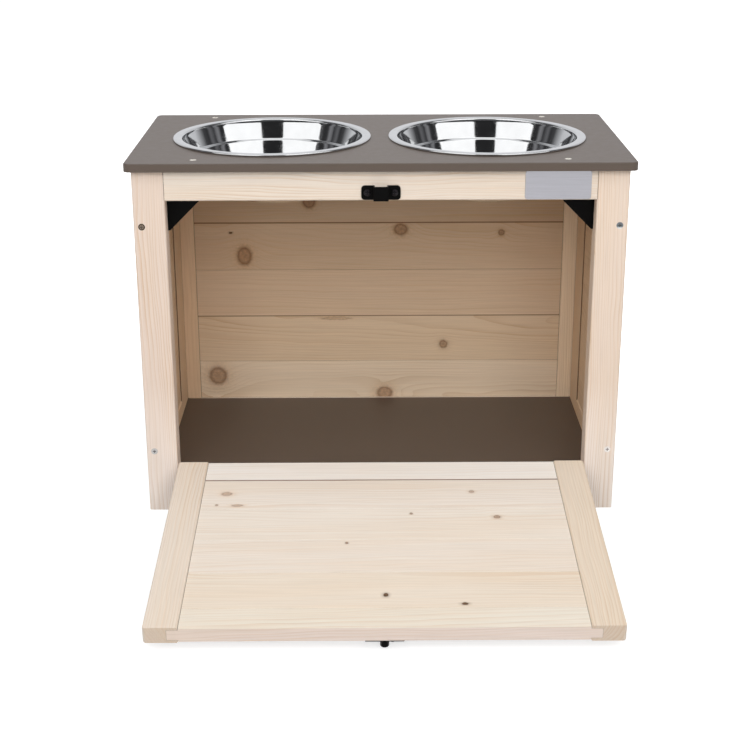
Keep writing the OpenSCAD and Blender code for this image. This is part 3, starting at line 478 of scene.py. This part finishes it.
# Painted shade in the recesses, as deep as the occlusion finds them
recess_shade = add(tree, "ShaderNodeAmbientOcclusion", {"Distance": RECESS_SHADE_REACH}, samples=8).outputs["AO"]
recess_shade = add(tree, "ShaderNodeMapRange", {"Value": recess_shade, "From Min": 0.3, "From Max": 0.8,
                                          "To Min": 1.0, "To Max": 0.0}).outputs[0]
tones = add(tree, "ShaderNodeMix", {SHARE: recess_shade, FIRST: tones, SECOND: linear("#050505")},
            data_type="RGBA").outputs[MIXED]
tree.links.new(tones, shader.inputs["Base Color"])
shader.inputs["Metallic"].default_value = 1.0
shader.inputs["Roughness"].default_value = 0.4
for black_screw in ("bolt_screws", "bracket_screws"):
    dress(black_screw, oxide)

# Keeper screws: two pan-head screws through the keeper's wings into the rail, turned steel in black oxide.
# Their round heads stand proud of the wings, each with a cross pressed into it.
# The flush heads of the frame's own screws, from whose box the places are taken
SOLID_HEAD_R = 0.0028
PAN_R = 0.0042
PAN_H = 0.0023
PAN_FACETS = 40
DOME_FACETS = 20
SHANK_R = 0.0015
CROSS_L = 0.0046
CROSS_W = 0.0011
CROSS_D = 0.0012
ON_PLANE = 0.0000001
# The normals of the faces that the cross is cut from look at least this far forwards
DOME_FRONT = -0.2
SHARP = radians(40)


def vertices(geom):
    """The vertices in what a bmesh operator gives back."""
    return [part for part in geom if isinstance(part, bmesh.types.BMVert)]


def new_piece(name, mesh, material):
    """Puts a finished mesh into the scene as a named piece with its finish."""
    data = bpy.data.meshes.new(name)
    mesh.to_mesh(data)
    mesh.free()
    data.materials.append(material)
    piece = bpy.data.objects.new(name, data)
    bpy.context.scene.collection.objects.link(piece)
    return piece


low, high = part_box("keeper_screws")
screw_mesh = bmesh.new()
bmesh.ops.create_uvsphere(screw_mesh, u_segments=PAN_FACETS, v_segments=DOME_FACETS, radius=1.0,
                          matrix=Matrix.Rotation(pi / 2, 4, "X"))
bmesh.ops.scale(screw_mesh, vec=(PAN_R, PAN_H, PAN_R), verts=screw_mesh.verts)
bmesh.ops.bisect_plane(screw_mesh, geom=screw_mesh.verts[:] + screw_mesh.edges[:] + screw_mesh.faces[:],
                       dist=ON_PLANE, plane_co=(0, 0, 0), plane_no=BACKWARDS, clear_outer=True)
seat = bmesh.ops.contextual_create(screw_mesh, geom=[e for e in screw_mesh.edges if e.is_boundary])["faces"]
bmesh.ops.inset_region(screw_mesh, faces=seat, thickness=PAN_R - SHANK_R)
shank = bmesh.ops.extrude_face_region(screw_mesh, geom=seat)["geom"]
bmesh.ops.delete(screw_mesh, geom=seat, context="FACES")
bmesh.ops.translate(screw_mesh, vec=BACKWARDS * (high.y - low.y), verts=vertices(shank))
for direction in (RIGHTWARDS, UPWARDS):
    for cut in (-CROSS_L / 2, -CROSS_W / 2, CROSS_W / 2, CROSS_L / 2):
        dome_faces = [face for face in screw_mesh.faces if face.normal.y < DOME_FRONT]
        dome = dict.fromkeys(part for face in dome_faces for part in (face, *face.edges, *face.verts))
        bmesh.ops.bisect_plane(screw_mesh, geom=list(dome), dist=ON_PLANE, plane_co=direction * cut,
                               plane_no=direction)
cross_faces = []
for face in screw_mesh.faces:
    centre = face.calc_center_median()
    near, far = sorted((abs(centre.x), abs(centre.z)))
    if face.normal.y < DOME_FRONT and near < CROSS_W / 2 and far < CROSS_L / 2:
        cross_faces.append(face)
pressed = bmesh.ops.extrude_face_region(screw_mesh, geom=cross_faces)["geom"]
bmesh.ops.delete(screw_mesh, geom=cross_faces, context="FACES")
bmesh.ops.translate(screw_mesh, vec=BACKWARDS * CROSS_D, verts=vertices(pressed))
bmesh.ops.recalc_face_normals(screw_mesh, faces=screw_mesh.faces)
for face in screw_mesh.faces:
    face.smooth = True
for edge in screw_mesh.edges:
    edge.smooth = edge.calc_face_angle(pi) < SHARP
bmesh.ops.translate(screw_mesh, vec=(low.x + SOLID_HEAD_R, low.y, (low.z + high.z) / 2),
                    verts=screw_mesh.verts)
first_screw = screw_mesh.verts[:] + screw_mesh.edges[:] + screw_mesh.faces[:]
second_screw = bmesh.ops.duplicate(screw_mesh, geom=first_screw)["geom"]
bmesh.ops.translate(screw_mesh, vec=RIGHTWARDS * (high.x - low.x - 2 * SOLID_HEAD_R),
                    verts=vertices(second_screw))
pan_screws = new_piece("keeper_pan_screws", screw_mesh, oxide)
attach(pan_screws, "stand")
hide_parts("keeper_screws")

# Corner brackets and keeper: folded sheet steel with the bolt's black powder coat.
# The brackets stiffen the opening's upper corners, and the keeper takes the bolt's rod.
for black_part in ("left_corner_bracket", "right_corner_bracket", "keeper"):
    dress(black_part, powder)

# Top panel: the same taupe board as the floor, with two round cut-outs and a rounded upper edge.
# Four screws hold it down on the rails. Their heads are lacquered ivory: off-white, with a low shine.
LACQUER_CLOUD = 0.002
melamine("top_panel", "#5A5049", "#635952", EDGE_SHADE_TONE)
ivory, tree, shader = new_material("ivory_lacquered_steel")
coords = add(tree, "ShaderNodeTexCoord").outputs["Object"]
_, tones = mottled(tree, coords, LACQUER_CLOUD, "#C9C3BA", "#E2DDD4")
tree.links.new(tones, shader.inputs["Base Color"])
shader.inputs["Roughness"].default_value = 0.45
dress("top_screws", ivory)

# Leg screws: eight countersunk cross-head screws, zinc plated, flush with the legs' faces.
# The lower ones still shine, most on the right.
# The upper ones are dull, brown on the left and grey on the right.
HEAD_R = 0.004
ZINC_SPOT = 0.003
weathered, tree, shader = new_material("weathered_zinc_screws")
coords = add(tree, "ShaderNodeTexCoord").outputs["Object"]
place = add(tree, "ShaderNodeSeparateXYZ", {0: coords}).outputs
upper = add(tree, "ShaderNodeMapRange", {"Value": place["Z"], "From Min": 0.15, "From Max": 0.3}).outputs[0]
right = add(tree, "ShaderNodeMapRange", {"Value": place["X"], "From Min": -0.1, "From Max": 0.1}).outputs[0]
spots, worn = mottled(tree, coords, ZINC_SPOT, "#AEABAA", "#D2CFCD")
fresh = add(tree, "ShaderNodeMix", {SHARE: spots, FIRST: linear("#E6DDD7"), SECOND: linear("#F8F1EC")},
            data_type="RGBA").outputs[MIXED]
bright = add(tree, "ShaderNodeMix", {SHARE: right, FIRST: worn, SECOND: fresh},
             data_type="RGBA").outputs[MIXED]
# From each head's own axis: a brown ring of rust on the left, and a highlight painted on the lower edge on
# the right
low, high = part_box("leg_screws")
axes = (high.x - HEAD_R, 0, (high.z - low.z) / 2 - HEAD_R)
off_axis = add(tree, "ShaderNodeVectorMath", {0: coords, 1: (0, 0, (low.z + high.z) / 2)},
               operation="SUBTRACT").outputs[0]
off_axis = add(tree, "ShaderNodeVectorMath", {0: off_axis}, operation="ABSOLUTE").outputs[0]
off_axis = add(tree, "ShaderNodeVectorMath", {0: off_axis, 1: axes}, operation="SUBTRACT").outputs[0]
rise = add(tree, "ShaderNodeSeparateXYZ", {0: off_axis}).outputs["Z"]
spread = add(tree, "ShaderNodeVectorMath", {0: off_axis, 1: (1, 0, 1)}, operation="MULTIPLY").outputs[0]
spread = add(tree, "ShaderNodeVectorMath", {0: spread}, operation="LENGTH").outputs["Value"]
rust = add(tree, "ShaderNodeMapRange", {"Value": spread, "From Min": HEAD_R * 0.5,
                                        "From Max": HEAD_R * 0.85}).outputs[0]
rusty = add(tree, "ShaderNodeMix", {SHARE: rust, FIRST: linear("#948576"), SECOND: linear("#33241A")},
            data_type="RGBA").outputs[MIXED]
painted_crescent = add(tree, "ShaderNodeMapRange", {"Value": rise, "From Min": -HEAD_R * 0.8,
                                              "From Max": -HEAD_R * 0.3, "To Min": 1.0,
                                              "To Max": 0.0}).outputs[0]
grey = add(tree, "ShaderNodeMix", {SHARE: painted_crescent, FIRST: linear("#74797C"), SECOND: linear("#DCDCDC")},
           data_type="RGBA").outputs[MIXED]
dull = add(tree, "ShaderNodeMix", {SHARE: right, FIRST: rusty, SECOND: grey},
           data_type="RGBA").outputs[MIXED]
tones = add(tree, "ShaderNodeMix", {SHARE: upper, FIRST: bright, SECOND: dull},
            data_type="RGBA").outputs[MIXED]
# Painted shade darkens the cross recesses
recess_shade = add(tree, "ShaderNodeAmbientOcclusion", {"Distance": RECESS_SHADE_REACH}, samples=8).outputs["AO"]
recess_shade = add(tree, "ShaderNodeMapRange", {"Value": recess_shade, "From Min": 0.4, "From Max": 0.95,
                                          "To Min": 0.95, "To Max": 0.0}).outputs[0]
recess_shade_tones = add(tree, "ShaderNodeMix", {SHARE: right, FIRST: linear("#1C1919"), SECOND: linear("#4A413B")},
            data_type="RGBA").outputs[MIXED]
tones = add(tree, "ShaderNodeMix", {SHARE: recess_shade, FIRST: tones, SECOND: recess_shade_tones},
            data_type="RGBA").outputs[MIXED]
tree.links.new(tones, shader.inputs["Base Color"])
shader.inputs["Metallic"].default_value = 1.0
shader.inputs["Roughness"].default_value = 0.38
dress("leg_screws", weathered)

# Bare plate: a thin aluminium tag with rounded corners, stuck on the front top rail.
# It is brushed lengthways, which gives it fine pale streaks, and has nothing on it.
PLATE_LEFT = 0.169
PLATE_RIGHT = 0.2466
PLATE_FOOT = 0.399
PLATE_HEAD = 0.433
PLATE_T = 0.0008
PLATE_CORNER_R = 0.003
PLATE_ARRIS_R = 0.0002
# Brush lines are about 0.05 mm apart; drawn at 0.4 mm, so that they show
STROKE_L = 0.03
STROKE_W = 0.0004
plate_low = Vector((PLATE_LEFT, FACE.y - PLATE_T, PLATE_FOOT))
plate_high = Vector((PLATE_RIGHT, FACE.y, PLATE_HEAD))
plate_mesh = bmesh.new()
bmesh.ops.create_cube(plate_mesh, size=1.0)
bmesh.ops.scale(plate_mesh, vec=plate_high - plate_low, verts=plate_mesh.verts)
bmesh.ops.translate(plate_mesh, vec=(plate_low + plate_high) / 2, verts=plate_mesh.verts)
corners = [e for e in plate_mesh.edges if abs(e.verts[0].co.y - e.verts[1].co.y) > PLATE_T / 2]
bmesh.ops.bevel(plate_mesh, geom=corners, offset=PLATE_CORNER_R, segments=8, profile=0.5, affect="EDGES",
                material=-1)
outline = [e for e in plate_mesh.edges if all(v.co.y < FACE.y - PLATE_T / 2 for v in e.verts)]
bmesh.ops.bevel(plate_mesh, geom=outline, offset=PLATE_ARRIS_R, segments=2, profile=0.5, affect="EDGES",
                material=-1)
brushed, tree, shader = new_material("brushed_aluminium")
coords = add(tree, "ShaderNodeTexCoord").outputs["Object"]
strokes = add(tree, "ShaderNodeMapping", {"Vector": coords,
                                          "Scale": (1 / STROKE_L, 1 / STROKE_W, 1 / STROKE_W)}).outputs[0]
strokes, tones = mottled(tree, strokes, 1.0, "#A7A6AC", "#C3C3CA")
tree.links.new(tones, shader.inputs["Base Color"])
grip = add(tree, "ShaderNodeMapRange", {"Value": strokes, "To Min": 0.35, "To Max": 0.5}).outputs[0]
tree.links.new(grip, shader.inputs["Roughness"])
shader.inputs["Metallic"].default_value = 1.0
plate = new_piece("bare_plate", plate_mesh, brushed)
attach(plate, "stand")

# Bowls: two round feeding bowls drawn from 1 mm stainless sheet, hung by their rolled rims in the top panel.
# They are mirror polished and only lie in place, so they lift out to be washed.
# Wash marks some millimetres wide take a little off the polish.
WASH_MARK = 0.012
steel, tree, shader = new_material("polished_stainless_steel")
coords = add(tree, "ShaderNodeTexCoord").outputs["Object"]
marks, tones = mottled(tree, coords, WASH_MARK, "#D3D4D5", "#E0E1E2", detail=4.0)
tree.links.new(tones, shader.inputs["Base Color"])
polish = add(tree, "ShaderNodeMapRange", {"Value": marks, "From Min": 0.3, "From Max": 0.7,
                                          "To Min": 0.05, "To Max": 0.1}).outputs[0]
tree.links.new(polish, shader.inputs["Roughness"])
shader.inputs["Metallic"].default_value = 1.0


def straight(mesh, tip, to_r, to_z, steps=1):
    """Draws a bowl's outline on to a radius and a height over the panel, and gives its new end."""
    from_r, from_z = tip.co.x, tip.co.z
    for step in range(1, steps + 1):
        tip = bmesh.ops.extrude_vert_indiv(mesh, verts=[tip])["verts"][0]
        tip.co = (from_r + (to_r - from_r) * step / steps, 0, from_z + (to_z - from_z) * step / steps)
    return tip


def arc(mesh, tip, centre_r, centre_z, angle, steps):
    """Draws a bowl's outline on round a centre; a positive angle turns from the base up to the wall."""
    swept = bmesh.ops.spin(mesh, geom=[tip], cent=(centre_r, 0, centre_z), axis=(0, -1, 0), angle=angle,
                           steps=steps)
    return vertices(swept["geom_last"])[0]


PANEL_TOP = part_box("top_panel")[1].z
SHEET = 0.001
SLANT = radians(19.5)
DEPTH = 0.074
# The wide turn from the base into the wall
TURN_R = 0.074
TURN_Z = TURN_R - DEPTH
MOUTH_R = 0.11244
BASE_R = MOUTH_R - (DEPTH - TURN_R * (1 - sin(SLANT))) * tan(SLANT) - TURN_R * cos(SLANT)
# The bend over the panel's edge, and the rolled bead outside it
BEND_R = 0.00255
BEND_Z = 0.0003
BEAD_R = 0.0015
BEAD_AT = 0.1225
BEAD_Z = 0.00135
BEAD_TURN = radians(154)
# The stacking step, pressed into the wall a third of the way down, so that stacked bowls don't jam
STEP_IN = 0.0035
STEP_Z = -0.0238
STEP_R = 0.0015
STEP_RISE = radians(17)
STEP_TURN = pi / 2 - SLANT - STEP_RISE
STEP_L = (STEP_IN * cos(SLANT) - 2 * STEP_R * (1 - cos(STEP_TURN))) / sin(STEP_TURN)
LOW_TURN = SLANT + acos(1 - STEP_IN * cos(SLANT) / TURN_R)
# Facets of each stretch of the outline, and round the bowl
BASE_FACETS = 7
TURN_FACETS = 28
LOW_WALL_FACETS = 6
STEP_FACETS = 7
HIGH_WALL_FACETS = 8
BEND_FACETS = 8
BEAD_FACETS = 14
BOWL_FACETS = 160
SAME_PLACE = 0.000005
for side in ("left", "right"):
    low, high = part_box(f"{side}_bowl")
    axis = (low + high) / 2
    bowl_mesh = bmesh.new()
    tip = bowl_mesh.verts.new((0, 0, TURN_Z - TURN_R))
    tip = straight(bowl_mesh, tip, BASE_R, TURN_Z - TURN_R, BASE_FACETS)
    tip = arc(bowl_mesh, tip, BASE_R, TURN_Z, pi / 2 - LOW_TURN, TURN_FACETS)
    step_foot_r = tip.co.x + (STEP_Z - tip.co.z) * tan(SLANT)
    tip = straight(bowl_mesh, tip, step_foot_r, STEP_Z, LOW_WALL_FACETS)
    tip = arc(bowl_mesh, tip, tip.co.x + STEP_R * cos(SLANT), tip.co.z - STEP_R * sin(SLANT), -STEP_TURN,
              STEP_FACETS)
    tip = straight(bowl_mesh, tip, tip.co.x + STEP_L * cos(STEP_RISE), tip.co.z + STEP_L * sin(STEP_RISE))
    tip = arc(bowl_mesh, tip, tip.co.x - STEP_R * sin(STEP_RISE), tip.co.z + STEP_R * cos(STEP_RISE),
              STEP_TURN, STEP_FACETS)
    tip = straight(bowl_mesh, tip, MOUTH_R, 0, HIGH_WALL_FACETS)
    tip = straight(bowl_mesh, tip, MOUTH_R, BEND_Z)
    tip = arc(bowl_mesh, tip, MOUTH_R + BEND_R, BEND_Z, -pi / 2, BEND_FACETS)
    tip = straight(bowl_mesh, tip, BEAD_AT, BEAD_Z + BEAD_R)
    arc(bowl_mesh, tip, BEAD_AT, BEAD_Z, -BEAD_TURN, BEAD_FACETS)
    bmesh.ops.spin(bowl_mesh, geom=bowl_mesh.verts[:] + bowl_mesh.edges[:], cent=(0, 0, 0), axis=(0, 0, 1),
                   angle=2 * pi, steps=BOWL_FACETS, use_merge=True)
    bmesh.ops.remove_doubles(bowl_mesh, verts=bowl_mesh.verts, dist=SAME_PLACE)
    bmesh.ops.recalc_face_normals(bowl_mesh, faces=bowl_mesh.faces)
    # The sheet gets its thickness outwards from its inner face, so that face has to look up
    if min(bowl_mesh.faces, key=lambda face: face.calc_center_median().length_squared).normal.z < 0:
        bmesh.ops.reverse_faces(bowl_mesh, faces=bowl_mesh.faces)
    bmesh.ops.solidify(bowl_mesh, geom=bowl_mesh.faces[:], thickness=SHEET)
    bmesh.ops.translate(bowl_mesh, vec=(axis.x, axis.y, PANEL_TOP), verts=bowl_mesh.verts)
    for face in bowl_mesh.faces:
        face.smooth = True
    bowl = new_piece(f"{side}_polished_bowl", bowl_mesh, steel)
    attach(bowl, f"{side}_bowl")
    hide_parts(f"{side}_bowl")

# Studio floor: a wide sheet of matt white paper that the stand is put on.
# To the eye much of its white is its own, more so far out, so that only shadows show on it.
FLOOR_REACH = 9.0
FLOOR_PARTS = 8
PULP = 0.02
floor_mesh = bmesh.new()
bmesh.ops.create_grid(floor_mesh, x_segments=FLOOR_PARTS, y_segments=FLOOR_PARTS, size=FLOOR_REACH)
paper, tree, shader = new_material("white_paper_sheet")
coords = add(tree, "ShaderNodeTexCoord").outputs["Object"]
_, tones = mottled(tree, coords, PULP, "#C0C0C0", "#C4C4C4", detail=2.0)
rays = add(tree, "ShaderNodeLightPath").outputs
seen = add(tree, "ShaderNodeMath", {0: rays["Is Camera Ray"], 1: rays["Is Glossy Ray"]},
           operation="MAXIMUM").outputs[0]
tones = add(tree, "ShaderNodeMix", {SHARE: seen, FIRST: tones, SECOND: linear("#BCBCBC")},
            data_type="RGBA").outputs[MIXED]
tree.links.new(tones, shader.inputs["Base Color"])
far_out = add(tree, "ShaderNodeVectorMath", {0: coords}, operation="LENGTH").outputs["Value"]
far_out = add(tree, "ShaderNodeMapRange", {"Value": far_out, "From Min": 0.6, "From Max": 2.0,
                                           "To Min": 0.72, "To Max": 1.0}).outputs[0]
own = add(tree, "ShaderNodeMath", {0: seen, 1: far_out}, operation="MULTIPLY").outputs[0]
tree.links.new(own, shader.inputs["Emission Strength"])
shader.inputs["Emission Color"].default_value = linear("#FFFFFF")
shader.inputs["Roughness"].default_value = 0.9
shader.inputs["Specular IOR Level"].default_value = 0.0
floor = new_piece("studio_floor", floor_mesh, paper)

# Studio room: plain white to the eye, and a soft grey fill on matt faces.
# Polished steel sees it white behind the stand, dark in front, and with grey stands to the sides between.
ROOM_FRONT = "#2A2A2B"
ROOM_BEHIND = "#E6E7EA"
# Shares of the way from the front to behind, and the tone there
ROOM_BETWEEN = ((0.3, "#2A2A2B"), (0.34, "#5A5A5C"), (0.37, "#303031"), (0.42, "#343436"), (0.45, "#8A8A8D"),
                (0.48, "#77777A"), (0.5, "#3C3C3E"), (0.56, "#6E6E71"), (0.6, "#38383A"), (0.66, "#4A4A4C"),
                (0.8, "#D8D9DC"))
room = bpy.data.worlds.new("studio_room")
bpy.context.scene.world = room
room.use_nodes = True
tree = room.node_tree
tree.nodes.clear()
rays = add(tree, "ShaderNodeLightPath").outputs
bearing = add(tree, "ShaderNodeTexCoord").outputs["Generated"]
bearing = add(tree, "ShaderNodeSeparateXYZ", {0: bearing}).outputs["Y"]
bearing = add(tree, "ShaderNodeMapRange", {"Value": bearing, "From Min": -1.0, "From Max": 1.0}).outputs[0]
mirrored_room = add(tree, "ShaderNodeValToRGB", {"Fac": bearing})
stops = mirrored_room.color_ramp.elements
stops[0].color = linear(ROOM_FRONT)
stops[1].color = linear(ROOM_BEHIND)
for place, code in ROOM_BETWEEN:
    stops.new(place).color = linear(code)
fill = add(tree, "ShaderNodeMix", {SHARE: rays["Is Glossy Ray"], FIRST: linear("#606060"),
                                   SECOND: mirrored_room.outputs["Color"]}, data_type="RGBA").outputs[MIXED]
fill = add(tree, "ShaderNodeMix", {SHARE: rays["Is Camera Ray"], FIRST: fill, SECOND: linear("#FFFFFF")},
           data_type="RGBA").outputs[MIXED]
light = add(tree, "ShaderNodeBackground", {"Color": fill, "Strength": 1.0}).outputs[0]
add(tree, "ShaderNodeOutputWorld", {"Surface": light})

# Soft boxes: one overhead, one in front, two to the sides and one behind, all aimed at the opening.
# Each has its place, width, height, roll in degrees and power.
# The front and rear ones don't show in the bowls.
LAMP_AIM = Vector((0, 0.1, 0.3))
soft_boxes = (
    ("overhead_soft_box", (0.0, -0.2, 2.4), 2.4, 1.8, 0, 18.0, True),
    ("front_soft_box", (0.0, -2.05, 1.45), 2.2, 1.7, 0, 35.0, False),
    ("left_soft_box", (-1.60, -1.40, 1.95), 2.5, 1.8, 18, 19.0, True),
    ("right_soft_box", (1.64, -1.32, 1.96), 2.6, 1.8, -18, 20.0, True),
    ("rear_soft_box", (0.0, 2.3, 1.5), 1.2, 1.6, 0, 36.0, False),
)
for lamp_name, place, width, height, roll, power, mirrored in soft_boxes:
    lamp_data = bpy.data.lights.new(lamp_name, "AREA")
    lamp_data.shape = "RECTANGLE"
    lamp_data.size = width
    lamp_data.size_y = height
    lamp_data.energy = power
    lamp = bpy.data.objects.new(lamp_name, lamp_data)
    bpy.context.scene.collection.objects.link(lamp)
    lamp.location = place
    lamp.visible_glossy = mirrored
    aim = (LAMP_AIM - Vector(place)).to_track_quat("-Z", "Y")
    lamp.rotation_euler = (aim @ Quaternion((0, 0, 1), radians(roll))).to_euler()

# Camera: 0.8 m up and 1.7 m before the middle of the open stand, nearly square to it and looking down.
# Its place, turns and focal length were fitted to the photograph's edges.
PHOTO_PX = 750
FOCAL_PX = 1481.206
SENSOR_MM = 36.0
YAW = radians(0.368)
PITCH = radians(20.052)
ROLL = radians(0.115)
CAMERA_AT = (-0.01833, -1.68361, 0.80191)
camera_data = bpy.data.cameras.new("camera")
camera_data.sensor_width = SENSOR_MM
camera_data.lens = FOCAL_PX / PHOTO_PX * SENSOR_MM
camera = bpy.data.objects.new("camera", camera_data)
bpy.context.scene.collection.objects.link(camera)
ahead = Vector((sin(YAW) * cos(PITCH), cos(YAW) * cos(PITCH), -sin(PITCH)))
level_right = Vector((cos(YAW), -sin(YAW), 0))
image_right = level_right * cos(ROLL) + ahead.cross(level_right) * sin(ROLL)
image_up = -ahead.cross(image_right)
camera_turn = Matrix((image_right, image_up, -ahead)).transposed().to_4x4()
camera.matrix_world = Matrix.Translation(CAMERA_AT) @ camera_turn
bpy.context.scene.camera = camera
bpy.context.scene.view_settings.view_transform = "Standard"
